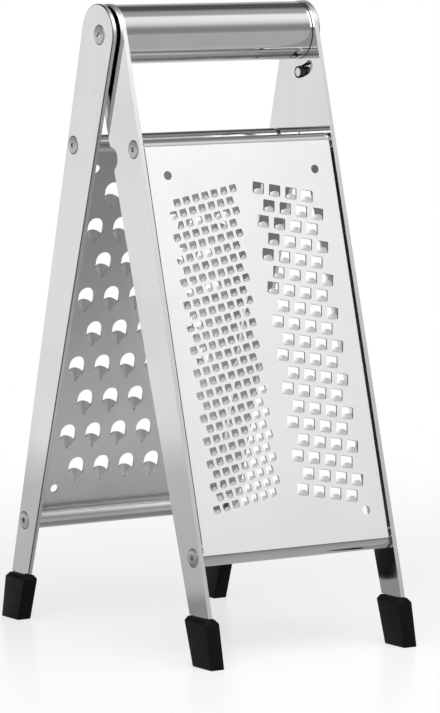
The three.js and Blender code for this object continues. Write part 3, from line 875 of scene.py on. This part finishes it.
@dataclass
class Panel:
    """A grating panel: a sheet with rolled top and bottom edges and fields of teeth."""

    sizes: Sizes
    facing: Facing
    hole_diameter: float = 3.8
    hole_from_side: float = 9.3
    hole_from_rod: float = 12.4
    roll_steps: int = 54
    side_depth: float = 0.0
    side_from_rod: float = 4.5

    def build(self) -> None:
        """Builds the panel with its rolled edges and teeth."""
        fields = self.fields()
        mouths = self.corner_holes()
        for tooth, places, turn in fields:
            mouths += [self.moved(tooth.mouth(), place, turn) for place in places]
        shape = bmesh.new()
        filled(shape, [self.on_face(points) for points in [self.rim(), *mouths]])
        self.roll_edge(shape, self.sizes.top_rod, 1.0)
        self.roll_edge(shape, self.sizes.bottom_rod, -1.0)
        self.turn_in_sides(shape)
        self.thicken(shape)
        for tooth, places, turn in fields:
            self.stand_teeth(shape, tooth, places, turn)
        self.mark_finishes(shape)
        node = f"{self.facing.prefix}_panel"
        finishes = [Finishes.SATIN, Finishes.SHADED_ROLL, Finishes.MILL, Finishes.CUT]
        settle(shape, node, finishes, self.facing.body, self.sizes.stance(self.facing), sharp=28.0)

    def fields(self) -> list[tuple[Tooth, list[Vector], float]]:
        """The kinds of tooth with their places as (across, down) and their turn in the panel's plane."""
        raise NotImplementedError

    def rim(self) -> list[Vector]:
        """The flat part's outline between its rolled edges."""
        half = self.sizes.panel_half(self.facing)
        top, low = self.sizes.top_rod, self.sizes.bottom_rod
        levels = (top, top + self.side_from_rod, low - self.side_from_rod, low)
        right = [Vector((half, level)) for level in levels]
        left = [Vector((-half, level)) for level in reversed(levels)]
        return right + left

    def corner_holes(self) -> list[list[Vector]]:
        """Round holes near the panel's corners; the front panel has none at its lower left."""
        across = self.sizes.panel_half(Facing.FRONT) - self.hole_from_side
        high = self.sizes.top_rod + self.hole_from_rod
        low = self.sizes.bottom_rod - self.hole_from_rod
        places = [(-across, high), (across, high), (across, low)]
        if self.facing is Facing.REAR:
            places.append((-across, low))
        return [arc(place, self.hole_diameter / 2, 0.0, 2 * math.pi, 28)[1:] for place in places]

    def moved(self, points: Loop, place: Vector, turn: float) -> list[Vector]:
        """Turns an outline and moves it to a place on the panel.

        Args:
            points: the outline about its middle.
            place: where its middle goes.
            turn: its turn in the panel's plane.

        Returns:
            The moved outline.
        """
        spin = Matrix.Rotation(turn, 2)
        return [spin @ point + place for point in points]

    def on_face(self, points: Loop) -> list[Vector]:
        """Lays (across, down) points on the panel's outer face in the frame's own place."""
        out = self.facing.value * self.sizes.panel_face
        return [Vector((point.x, out, -point.y)) for point in points]

    def roll_edge(self, shape: Shape, rod: float, way: float) -> None:
        """Rolls an edge of the sheet three quarters round its rod.

        Args:
            shape: the flat sheet.
            rod: the rod's distance down the leg.
            way: 1 rolls the top edge and -1 the bottom one.
        """
        level = [edge for edge in shape.edges if all(abs(vert.co.z + rod) < 0.001 for vert in edge.verts)]
        verts = list({vert for edge in level for vert in edge.verts})
        centre = (0.0, self.facing.value * self.sizes.rod_offset, -rod)
        angle = way * self.facing.value * 1.5 * math.pi
        bmesh.ops.spin(shape, geom=verts + level, cent=centre, axis=(1.0, 0.0, 0.0),
                       angle=angle, steps=self.roll_steps)

    def turn_in_sides(self, shape: Shape) -> None:
        """Bends the sheet's sides in between the rolled edges, where the panel has turned-in sides."""
        if self.side_depth == 0.0:
            return
        half = self.sizes.panel_half(self.facing)
        low = self.sizes.top_rod + self.side_from_rod - 0.001
        high = self.sizes.bottom_rod - self.side_from_rod + 0.001

        def on_side(vert: bmesh.types.BMVert) -> bool:
            """Whether a corner lies on the part of a side that is bent."""
            return abs(abs(vert.co.x) - half) < 0.001 and low < -vert.co.z < high

        sides = [edge for edge in shape.edges if all(on_side(vert) for vert in edge.verts)]
        made = bmesh.ops.extrude_edge_only(shape, edges=sides)
        verts = [item for item in made["geom"] if isinstance(item, bmesh.types.BMVert)]
        bmesh.ops.translate(shape, verts=verts, vec=(0.0, -self.facing.value * self.side_depth, 0.0))

    def thicken(self, shape: Shape) -> None:
        """Gives the sheet its thickness towards the inside."""
        bmesh.ops.remove_doubles(shape, verts=shape.verts, dist=0.0005)
        bmesh.ops.recalc_face_normals(shape, faces=shape.faces)
        flat = max(shape.faces, key=lambda face: face.calc_area())
        if flat.normal.y * self.facing.value < 0:
            bmesh.ops.reverse_faces(shape, faces=shape.faces)
        bmesh.ops.solidify(shape, geom=list(shape.faces), thickness=self.sizes.sheet)

    def mark_finishes(self, shape: Shape) -> None:
        """Marks rolled edges for the second finish, the inner face for the third and cuts for the last; the
        second and the last are darker steels that are painted shade.
        """
        shape.normal_update()
        for face in shape.faces:
            outward = face.normal.y * self.facing.value
            # Rolled edges take the darker rolled steel, as painted shade.
            if not self.sizes.top_rod < -face.calc_center_median().z < self.sizes.bottom_rod:
                face.material_index = 1
            elif outward > SHEET_LEAN:
                face.material_index = 0
            elif outward < -SHEET_LEAN:
                face.material_index = 2
            # Hole walls and cut edges take the dark cut steel, as painted shade.
            else:
                face.material_index = 3

    def stand_teeth(self, shape: Shape, tooth: Tooth, places: Sequence[Vector], turn: float) -> None:
        """Stands a tongue in each hole of a field.

        Args:
            shape: the panel.
            tooth: the kind of tooth.
            places: the middles of its holes.
            turn: the holes' turn in the panel's plane.
        """
        pattern = tooth.tongue()
        if self.facing is Facing.FRONT:
            bmesh.ops.scale(pattern, vec=(1.0, -1.0, 1.0), verts=pattern.verts)
            bmesh.ops.reverse_faces(pattern, faces=pattern.faces)
        level = self.facing.value * (self.sizes.panel_face - tooth.wall / 2)
        mesh = bpy.data.meshes.new("tooth_pattern")
        spin = Matrix.Rotation(turn, 4, "Y")
        bmesh.ops.transform(pattern, matrix=spin, verts=pattern.verts)
        pattern.to_mesh(mesh)
        pattern.free()
        for place in places:
            known = len(shape.verts)
            shape.from_mesh(mesh)
            shape.verts.ensure_lookup_table()
            bmesh.ops.translate(shape, verts=shape.verts[known:], vec=(place.x, level, -place.y))
        bpy.data.meshes.remove(mesh)


@dataclass
class FrontPanel(Panel):
    """The front panel: fine teeth on its left half and medium teeth on its right half."""

    side_depth: float = 6.0
    fine: Tooth = field(default_factory=lambda: Tooth(
        3.35, 3.1, 0.55, 1.9, 0.2, 0.4, 0.7, columns=4, rows=2, taper=-0.2, wall=0.35))
    medium: Tooth = field(default_factory=lambda: Tooth(
        5.6, 4.9, 0.5, 3.9, 0.4, 0.7, 1.0, columns=6, rows=3, taper=-0.15, wall=0.4))
    fine_pitch: tuple[float, float] = (4.75, 4.77)
    medium_pitch: tuple[float, float] = (8.0, 7.15)
    fine_slope: float = -0.175
    medium_slope: float = 0.188
    fine_start: tuple[float, float] = (9.5, 24.4)
    medium_start: tuple[float, float] = (11.3, 18.8)
    medium_from_middle: float = 4.2
    fine_count: tuple[int, int] = (7, 28)
    medium_count: tuple[int, int] = (4, 19)

    def fields(self) -> list[tuple[Tooth, list[Vector], float]]:
        """The fine and the medium field, each in slanted, staggered rows."""
        half = self.sizes.panel_half(self.facing)
        fine_edge = self.fine_start[0] - half
        fine = self.rows(fine_edge, self.fine_pitch, self.fine_slope, self.fine_start[1], self.fine_count,
                         fine_edge)
        medium_edge = half - self.medium_start[0]
        pitch = (-self.medium_pitch[0], self.medium_pitch[1])
        medium = self.rows(medium_edge, pitch, self.medium_slope, self.medium_start[1], self.medium_count,
                           self.medium_from_middle)
        return [
            (self.fine, fine, math.atan(self.fine_slope)),
            (self.medium, medium, math.atan(self.medium_slope)),
        ]

    def rows(self, edge: float, pitch: tuple[float, float], slope: float, start: float,
             count: tuple[int, int], base: float) -> list[Vector]:
        """Places of a field's teeth.

        Args:
            edge: where the rows start across the panel.
            pitch: the signed step along a row and the step between rows.
            slope: how much a row falls along X.
            start: the first row's distance under the top rod.
            count: teeth in a row and number of rows.
            base: where across the panel a row has its nominal level.

        Returns:
            The teeth's middles as (across, down).
        """
        places = []
        for row in range(count[1]):
            shift = 0.5 if row % 2 == 0 else 0.0
            for column in range(count[0]):
                across = edge + (column + shift) * pitch[0]
                level = self.sizes.top_rod + start + row * pitch[1] + (across - base) * slope
                places.append(Vector((across, level)))
        return places


@dataclass
class ScoopTooth(Tooth):
    """A coarse tooth: an arched opening over a scoop that runs out to a point."""

    opening_top: float = 3.4
    opening_foot: float = 3.9
    overlap: float = 0.35
    tip: float = 0.2
    roundness: float = 1.25

    def arch(self, across: float) -> float:
        """The scoop's height across its width: round on top, and level with the sheet at its sides."""
        return (1.0 - across * across) ** SCOOP_CROWN

    def narrow(self, fall: float) -> float:
        """The scoop's share of its full width on the way down to its blunt point."""
        return max(self.tip, 1.0 - fall ** self.roundness)

    def mouth(self) -> list[Vector]:
        """The opening's outline with the scoop's hollow under it, a little smaller than the scoop."""
        radius = self.width / 2
        points = arc((0.0, radius - self.opening_top), radius, math.pi, 2 * math.pi, 20)
        foot = self.height / 2 + self.point
        steps = 9
        for side in (1.0, -1.0):
            falls = range(steps + 1) if side > 0 else range(steps - 1, -1, -1)
            for step in falls:
                fall = step / steps
                inset = self.overlap * min(1.0, 3.0 * fall)
                half = self.narrow(fall) * self.tongue_width / 2 - inset
                down = self.opening_foot + (foot - inset - self.opening_foot) * fall
                points.append(Vector((side * half, down)))
        return points


@dataclass
class RearPanel(Panel):
    """The rear panel with its staggered coarse scoops."""

    coarse: ScoopTooth = field(default_factory=lambda: ScoopTooth(
        7.7, 5.6, 0.5, 7.7, 2.4, 1.5, 1.5, columns=12, rows=12, wall=0.6, point=5.8, run_out=1.4))
    pitch: tuple[float, float] = (12.92, 15.84)
    start: float = 22.1
    shift: float = -1.25
    columns: int = 5
    row_count: int = 9

    def fields(self) -> list[tuple[Tooth, list[Vector], float]]:
        """The coarse field: rows of five and six by turns, a little left of the panel's middle."""
        places = []
        for row in range(self.row_count):
            count = self.columns + row % 2
            level = self.sizes.top_rod + self.start + row * self.pitch[1]
            for column in range(count):
                across = (column - (count - 1) / 2) * self.pitch[0] + self.shift
                places.append(Vector((across, level)))
        return [(self.coarse, places, 0.0)]


@dataclass
class Rods:
    """The cross rods inside a panel's rolled edges, bored at both ends for their screws."""

    sizes: Sizes
    facing: Facing
    radius: float = 3.0
    chamfer: float = 0.3
    bore: float = 2.2
    bore_depth: float = 10.0

    def build(self) -> None:
        """Builds both rods."""
        sizes = self.sizes
        half = sizes.leg_face(self.facing) - sizes.leg_thickness - sizes.seat
        end = [
            (half - self.bore_depth, 0.0),
            (half - self.bore_depth, self.bore),
            (half, self.bore),
            (half, self.radius - self.chamfer),
            (half - self.chamfer, self.radius),
        ]
        profile = [*end, *[(-x, radius) for x, radius in reversed(end)]]
        for level, down in (("top", sizes.top_rod), ("bottom", sizes.bottom_rod)):
            shape = bmesh.new()
            turned(shape, profile, 48)
            offset = Vector((0.0, self.facing.value * sizes.rod_offset, -down))
            node = f"{self.facing.prefix}_{level}_rod"
            stance = sizes.stance(self.facing) @ Matrix.Translation(offset)
            settle(shape, node, [Finishes.TURNED], self.facing.body, stance)


@dataclass
class Screw:
    """A countersunk screw with a low dome and a hexagon socket; x is 0 at the leg's outer face."""

    shank: float
    length: float
    head: float
    socket: float
    proud: float = 0.5
    socket_depth: float = 1.1
    socket_rim: float = 0.25
    steps: int = 48

    def shape(self, hand: Hand) -> Shape:
        """Turns the screw and sinks its socket.

        Args:
            hand: the side that the head points to.

        Returns:
            The screw's shape.
        """
        ring = self.socket / 2 + self.socket_rim
        steps = [step / 5 * math.acos(2 * ring / self.head) for step in range(6)]
        dome = [(self.proud * math.sin(a), self.head / 2 * math.cos(a)) for a in steps]
        sink = ((self.shank - self.head) / 2, self.shank / 2)
        profile = [(-self.length, 0.0), (-self.length, self.shank / 2), sink, *dome]
        top = dome[-1][0]
        shape = bmesh.new()
        turned(shape, [(hand.value * x, radius) for x, radius in profile], self.steps)
        ring_edges = [edge for edge in shape.edges if edge.is_boundary]
        corners = arc((0.0, 0.0), self.socket / 2, 0.0, 2 * math.pi, 6)[1:]
        hexagon = closed_loop(shape, [Vector((hand.value * top, p.x, p.y)) for p in corners])
        bmesh.ops.triangle_fill(shape, use_beauty=True, use_dissolve=False, edges=ring_edges + hexagon)
        made = bmesh.ops.extrude_edge_only(shape, edges=hexagon)
        verts = [item for item in made["geom"] if isinstance(item, bmesh.types.BMVert)]
        edges = [item for item in made["geom"] if isinstance(item, bmesh.types.BMEdge)]
        bmesh.ops.translate(shape, verts=verts, vec=(-hand.value * self.socket_depth, 0.0, 0.0))
        bmesh.ops.contextual_create(shape, geom=[edge for edge in edges if edge.is_boundary])
        bmesh.ops.recalc_face_normals(shape, faces=shape.faces)
        return shape


@dataclass
class Fasteners:
    """The panel screws, the pivot screws and the stop pin."""

    sizes: Sizes
    panel_screw: Screw = field(default_factory=lambda: Screw(4.0, 11.0, 7.4, 2.6))
    pivot_screw: Screw = field(default_factory=lambda: Screw(5.0, 18.0, 8.0, 3.2))
    pin_diameter: float = 4.6
    pin_chamfer: float = 0.4
    pin_orbit: float = 18.0
    pin_angle: float = math.radians(17.8)

    def build(self) -> None:
        """Builds all the screws and the pin."""
        for hand in Hand:
            for facing in Facing:
                self.panel_screws(facing, hand)
            self.pivot(hand)
        self.pin(Hand.RIGHT)

    def panel_screws(self, facing: Facing, hand: Hand) -> None:
        """Builds the two screws of one leg.

        Args:
            facing: the leg's frame.
            hand: the leg's side.
        """
        sizes = self.sizes
        for level, down in (("top", sizes.top_rod), ("bottom", sizes.bottom_rod)):
            offset = Vector((hand.value * sizes.leg_face(facing), facing.value * sizes.rod_offset, -down))
            node = f"{facing.prefix}_{level}_screw_{hand.suffix}"
            stance = sizes.stance(facing) @ Matrix.Translation(offset)
            settle(self.panel_screw.shape(hand), node, [Finishes.BOLT], facing.body, stance)

    def pivot(self, hand: Hand) -> None:
        """Builds one pivot screw."""
        offset = Vector((hand.value * self.sizes.leg_face(Facing.REAR), 0.0, 0.0))
        stance = self.sizes.pivot() @ Matrix.Translation(offset)
        node = f"pivot_screw_{hand.suffix}"
        settle(self.pivot_screw.shape(hand), node, [Finishes.BOLT], Facing.FRONT.body, stance)

    def pin(self, hand: Hand) -> None:
        """Builds the stop pin on the rear leg of one side."""
        sizes = self.sizes
        base = sizes.leg_face(Facing.REAR) - sizes.leg_thickness - sizes.seat
        tip = sizes.inside_width / 2
        radius = self.pin_diameter / 2
        cut = radius - self.pin_chamfer
        profile = [(base, 0.0), (base, radius), (tip + self.pin_chamfer, radius), (tip, cut), (tip, 0.0)]
        shape = bmesh.new()
        turned(shape, [(hand.value * x, r) for x, r in profile], ROUND_STEPS)
        for face in shape.faces:
            face.material_index = int(abs(face.normal.x) < LEVEL_LEAN)
        angle = self.pin_angle
        offset = Vector((0.0, -self.pin_orbit * math.sin(angle), -self.pin_orbit * math.cos(angle)))
        stance = sizes.stance(Facing.REAR) @ Matrix.Translation(offset)
        settle(shape, "stop_pin", [Finishes.TURNED, Finishes.NYLON], Facing.REAR.body, stance)


@dataclass
class Feet:
    """The rubber boots of a frame."""

    sizes: Sizes
    facing: Facing
    chamfer: float = 2.1
    flare: float = 1.2
    top_inset: float = 1.5
    sole: float = 4.0
    rounding: float = 0.5

    def build(self) -> None:
        """Builds both boots."""
        for hand in Hand:
            self.foot(hand)

    def middle(self, hand: Hand) -> Vector:
        """The middle of the leg's section inside a boot, in the frame's own place."""
        sizes = self.sizes
        x = hand.value * (sizes.leg_face(self.facing) - sizes.leg_thickness / 2)
        out = (sizes.leg_inner_at_foot + sizes.leg_outer) / 2
        return Vector((x, self.facing.value * out, 0.0))

    def level(self, verts: Sequence[bmesh.types.BMVert], hand: Hand, beyond: tuple[float, float],
              height: float) -> None:
        """Moves four corners of a boot to a level.

        Args:
            verts: the corners, each already on its own side of the leg's middle.
            hand: the boot's side.
            beyond: how far they stand beyond the leg's faces and beyond its edges.
            height: the level above the floor.
        """
        sizes = self.sizes
        face = sizes.leg_face(self.facing)
        middle = self.middle(hand)
        for vert in verts:
            far = abs(vert.co.x) > abs(middle.x)
            x = face + beyond[0] if far else face - sizes.leg_thickness - beyond[0]
            outer = abs(vert.co.y) > abs(middle.y)
            out = sizes.leg_outer + beyond[1] if outer else sizes.leg_inner_at_foot - beyond[1]
            vert.co = Vector((hand.value * x, self.facing.value * out, -sizes.down_to(out, height)))

    def grown(self, shape: Shape, part: bmesh.types.BMFace) -> list[bmesh.types.BMVert]:
        """Extrudes a face and gives its new corners, which still lie on the old ones."""
        made = bmesh.ops.extrude_face_region(shape, geom=[part])
        return [item for item in made["geom"] if isinstance(item, bmesh.types.BMVert)]

    def foot(self, hand: Hand) -> None:
        """Builds one boot: a leaning block that widens upward, drawn in at its top and hollow for the leg.

        Args:
            hand: its side.
        """
        sizes = self.sizes
        wall = sizes.foot_wall
        shape = bmesh.new()
        bmesh.ops.create_cube(shape, size=1.0, matrix=Matrix.Translation(self.middle(hand)))
        low = [vert for vert in shape.verts if vert.co.z < 0.0]
        high = [vert for vert in shape.verts if vert.co.z > 0.0]
        self.level(low, hand, (wall, 0.0), 0.0)
        self.level(high, hand, (wall, self.flare), sizes.foot_height - self.chamfer)
        bmesh.ops.recalc_face_normals(shape, faces=shape.faces)
        top = max(shape.faces, key=lambda part: part.normal.z)
        inset = (wall - self.top_inset, self.flare - self.top_inset)
        self.level(self.grown(shape, top), hand, inset, sizes.foot_height)
        eased(shape, self.rounding, 4, math.radians(10.0))
        self.pocket(shape, hand)
        node = f"{self.facing.prefix}_foot_{hand.suffix}"
        settle(shape, node, [Finishes.RUBBER], self.facing.body, sizes.stance(self.facing), sharp=40.0)

    def pocket(self, shape: Shape, hand: Hand) -> None:
        """Sinks the hollow for the leg's tang into a boot's top.

        Args:
            shape: the boot.
            hand: its side.
        """
        sizes = self.sizes
        shape.normal_update()
        level = [part for part in shape.faces if part.normal.z > LEVEL_LEAN]
        top = max(level, key=lambda part: part.calc_area())
        bmesh.ops.inset_individual(shape, faces=[top], thickness=BOOT_INSET)
        walls = (sizes.seat, sizes.seat - sizes.foot_wall)
        self.level(top.verts, hand, walls, sizes.foot_height)
        self.level(self.grown(shape, top), hand, walls, self.sole)
        bmesh.ops.recalc_face_normals(shape, faces=shape.faces)


@dataclass
class Studio:
    """The pale floor, the soft light and the camera."""

    floor_half: float = 40.0
    shown_share: tuple[float, float] = (0.62, 1.0)
    shown_reach: tuple[float, float] = (0.16, 0.6)
    camera_place: tuple[float, float, float] = (-0.9635, -1.5129, 0.3103)
    yaw: float = math.radians(32.684)
    pitch: float = math.radians(-6.090)
    roll: float = math.radians(-0.281)
    lens: float = 212.53
    floor_colour: tuple[float, float, float] = (0.96, 0.96, 0.96)
    # Grey levels, along Y, that the floor glows with in reflections: painted shade, darker in front, darkest
    # under the grater and white far behind.
    mirrored: Sequence[tuple[float, float]] = (
        (-0.8, 0.52), (-0.2, 0.52), (-0.09, 0.62), (-0.02, 0.60), (0.01, 0.36), (0.06, 0.34), (0.1, 0.62),
        (0.44, 0.66), (0.62, 1.0))
    mirrored_reach: float = 2.0
    bands: Sequence[tuple[float, float]] = (
        (-180.0, 0.80), (-12.0, 0.55), (-6.0, 0.52), (0.0, 0.47), (6.0, 0.40), (14.0, 0.37), (20.0, 0.43),
        (24.0, 0.50), (28.0, 0.68), (33.0, 0.95), (40.0, 1.18), (46.0, 1.33), (54.0, 1.44), (68.0, 1.44),
        (72.0, 1.0), (75.0, 0.62), (90.0, 0.55), (95.0, 0.48), (101.0, 0.26), (108.0, 0.13), (134.0, 0.13),
        (141.0, 0.40), (152.0, 0.65), (180.0, 0.72))
    fill: Sequence[tuple[float, float]] = (
        (-180.0, 0.0), (20.0, 0.0), (45.0, 1.0), (80.0, 1.0), (95.0, 0.0), (180.0, 0.0))
    fill_strength: float = 0.9
    fill_edge: tuple[float, float] = (0.05, 0.4)
    key_place: tuple[float, float, float] = (-0.12, -0.36, 0.56)
    key_target: tuple[float, float, float] = (0.0, -0.04, 0.17)
    key_size: tuple[float, float] = (0.62, 0.56)
    key_power: float = 2.6

    def build(self) -> None:
        """Builds the studio."""
        self.floor()
        self.room()
        self.key()
        self.camera()

    def floor(self) -> None:
        """Lays a pale floor that keeps the shadow; steel sees it glow in listed grey levels, a painted shade
        that is darker near the grater and darkest under it.
        """
        shape = bmesh.new()
        bmesh.ops.create_grid(shape, x_segments=1, y_segments=1, size=self.floor_half)
        mesh = bpy.data.meshes.new("studio_floor")
        shape.to_mesh(mesh)
        shape.free()
        ground = bpy.data.objects.new("studio_floor", mesh)
        bpy.context.scene.collection.objects.link(ground)
        made = bpy.data.materials.new("studio_floor")
        made.use_nodes = True
        bench = Bench(made.node_tree)
        path = bench.add("ShaderNodeLightPath")
        place = bench.add("ShaderNodeSeparateXYZ")
        spot = bench.add("ShaderNodeTexCoord").outputs["Object"]
        bench.join(spot, place.inputs[0])
        depth = bench.add("ShaderNodeMapRange", From_Min=-self.mirrored_reach, From_Max=self.mirrored_reach)
        bench.join(place.outputs["Y"], depth.inputs["Value"])
        places = [(0.5 + y / self.mirrored_reach / 2, value) for y, value in self.mirrored]
        level = bench.add("ShaderNodeMix")
        bench.join(path.outputs["Is Camera Ray"], level.inputs["Factor"])
        bench.join(self.ramp(bench, depth.outputs["Result"], places), level.inputs["A"])
        level.inputs["B"].default_value = 1.0
        # White for the camera; in reflections the listed grey levels, painted shade in place of the floor's
        # lit shadow.
        backdrop_and_shade_glow = bench.add("ShaderNodeEmission")
        bench.join(level.outputs["Result"], backdrop_and_shade_glow.inputs["Strength"])
        away = bench.add("ShaderNodeVectorMath", operation="LENGTH")
        bench.join(spot, away.inputs[0])
        fade = bench.add("ShaderNodeMapRange", interpolation_type="SMOOTHSTEP", From_Min=self.shown_reach[0],
                         From_Max=self.shown_reach[1], To_Min=self.shown_share[0], To_Max=self.shown_share[1])
        bench.join(away.outputs["Value"], fade.inputs["Value"])
        seen = bench.math("MULTIPLY", path.outputs["Is Camera Ray"], fade.outputs["Result"])
        shown = bench.math("ADD", seen, path.outputs["Is Glossy Ray"])
        lit = bench.add("ShaderNodeBsdfPrincipled", Roughness=0.22)
        lit.inputs["Base Color"].default_value = (*self.floor_colour, 1.0)
        mix = bench.add("ShaderNodeMixShader")
        bench.join(shown, mix.inputs["Fac"])
        bench.join(lit.outputs["BSDF"], mix.inputs[1])
        bench.join(backdrop_and_shade_glow.outputs["Emission"], mix.inputs[2])
        output = bench.add("ShaderNodeOutputMaterial")
        bench.join(mix.outputs["Shader"], output.inputs["Surface"])
        mesh.materials.append(made)

    def ramp(self, bench: Bench, value: bpy.types.NodeSocket,
             stops: Sequence[tuple[float, float]]) -> bpy.types.NodeSocket:
        """Maps a value through a row of grey levels.

        Args:
            bench: the shader's nodes.
            value: the value, from 0 to 1.
            stops: the places on it and their levels, in order.

        Returns:
            The grey level's output.
        """
        node = bench.add("ShaderNodeValToRGB")
        row = node.color_ramp.elements
        for place, _ in stops[1:-1]:
            row.new(place)
        for element, (place, level) in zip(row, stops):
            element.position = place
            element.color = (level, level, level, 1.0)
        bench.join(value, node.inputs["Fac"])
        return node.outputs["Color"]

    def room(self) -> None:
        """Lights the room with calm grey walls and a soft box in front, before a white background."""
        world = bpy.data.worlds.new("studio")
        world.use_nodes = True
        bpy.context.scene.world = world
        bench = Bench(world.node_tree)
        way = bench.add("ShaderNodeSeparateXYZ")
        bench.join(bench.add("ShaderNodeTexCoord").outputs["Generated"], way.inputs[0])
        back = bench.math("MULTIPLY", way.outputs["Y"], -1.0)
        angle = bench.math("ARCTAN2", way.outputs["Z"], back)
        level = bench.add("ShaderNodeMapRange", From_Min=-math.pi, From_Max=math.pi)
        bench.join(angle, level.inputs["Value"])
        walls = self.round_room(bench, level.outputs["Result"], self.bands)
        soft = self.round_room(bench, level.outputs["Result"], self.fill)
        side = bench.add("ShaderNodeMapRange", interpolation_type="SMOOTHSTEP", From_Min=self.fill_edge[1],
                         From_Max=self.fill_edge[0], To_Max=self.fill_strength)
        bench.join(way.outputs["X"], side.inputs["Value"])
        boxed = bench.math("MULTIPLY", soft, side.outputs["Result"])
        room = bench.add("ShaderNodeBackground")
        bench.join(bench.math("ADD", walls, boxed), room.inputs["Strength"])
        white = bench.add("ShaderNodeBackground", Color=(1.0, 1.0, 1.0, 1.0), Strength=1.0)
        mix = bench.add("ShaderNodeMixShader")
        bench.join(bench.add("ShaderNodeLightPath").outputs["Is Camera Ray"], mix.inputs["Fac"])
        bench.join(room.outputs["Background"], mix.inputs[1])
        bench.join(white.outputs["Background"], mix.inputs[2])
        output = bench.add("ShaderNodeOutputWorld")
        bench.join(mix.outputs["Shader"], output.inputs["Surface"])

    def round_room(self, bench: Bench, angle: bpy.types.NodeSocket,
                   stops: Sequence[tuple[float, float]]) -> bpy.types.NodeSocket:
        """Grey levels round the room, over the X axis.

        Args:
            bench: the world's nodes.
            angle: the angle as a share of a full turn, the half being straight ahead of the panel.
            stops: angles in degrees and their levels, in order.

        Returns:
            The level's output.
        """
        peak = max(level for _, level in stops)
        places = [((degrees + 180.0) / 360.0, level / peak) for degrees, level in stops]
        return bench.math("MULTIPLY", self.ramp(bench, angle, places), peak)

    def key(self) -> None:
        """Hangs the key light, a soft box close over the front panel."""
        data = bpy.data.lights.new("key_light", "AREA")
        data.shape = "RECTANGLE"
        data.size = self.key_size[0]
        data.size_y = self.key_size[1]
        data.energy = self.key_power
        lamp = bpy.data.objects.new("key_light", data)
        place = Vector(self.key_place)
        aim = (Vector(self.key_target) - place).to_track_quat("-Z", "Y")
        lamp.matrix_world = Matrix.Translation(place) @ aim.to_matrix().to_4x4()
        bpy.context.scene.collection.objects.link(lamp)

    def camera(self) -> None:
        """Stands the camera where the photograph was taken from."""
        right = Vector((math.cos(self.yaw), -math.sin(self.yaw), 0.0))
        ahead = Vector((math.sin(self.yaw) * math.cos(self.pitch), math.cos(self.yaw) * math.cos(self.pitch),
                        math.sin(self.pitch)))
        up = right.cross(ahead)
        side = right * math.cos(self.roll) + up * math.sin(self.roll)
        top = side.cross(ahead)
        data = bpy.data.cameras.new("photo_camera")
        data.sensor_width = 36.0
        data.sensor_fit = "AUTO"
        data.lens = self.lens
        data.clip_end = 100.0
        camera = bpy.data.objects.new("photo_camera", data)
        turn = Matrix((side, top, -ahead)).transposed().to_4x4()
        camera.matrix_world = Matrix.Translation(self.camera_place) @ turn
        bpy.context.scene.collection.objects.link(camera)
        bpy.context.scene.camera = camera
        bpy.context.scene.view_settings.view_transform = "Standard"


def main() -> None:
    """Builds every sub-assembly in order from one set of sizes."""
    logging.basicConfig(level=logging.INFO, format="%(name)s: %(message)s")
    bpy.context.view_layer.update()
    sizes = Sizes()
    Handle(sizes).build()
    for facing in Facing:
        Legs(sizes, facing).build()
        Rods(sizes, facing).build()
        Feet(sizes, facing).build()
    FrontPanel(sizes, Facing.FRONT).build()
    RearPanel(sizes, Facing.REAR).build()
    Fasteners(sizes).build()
    Studio().build()


if __name__ == "__main__":
    main()
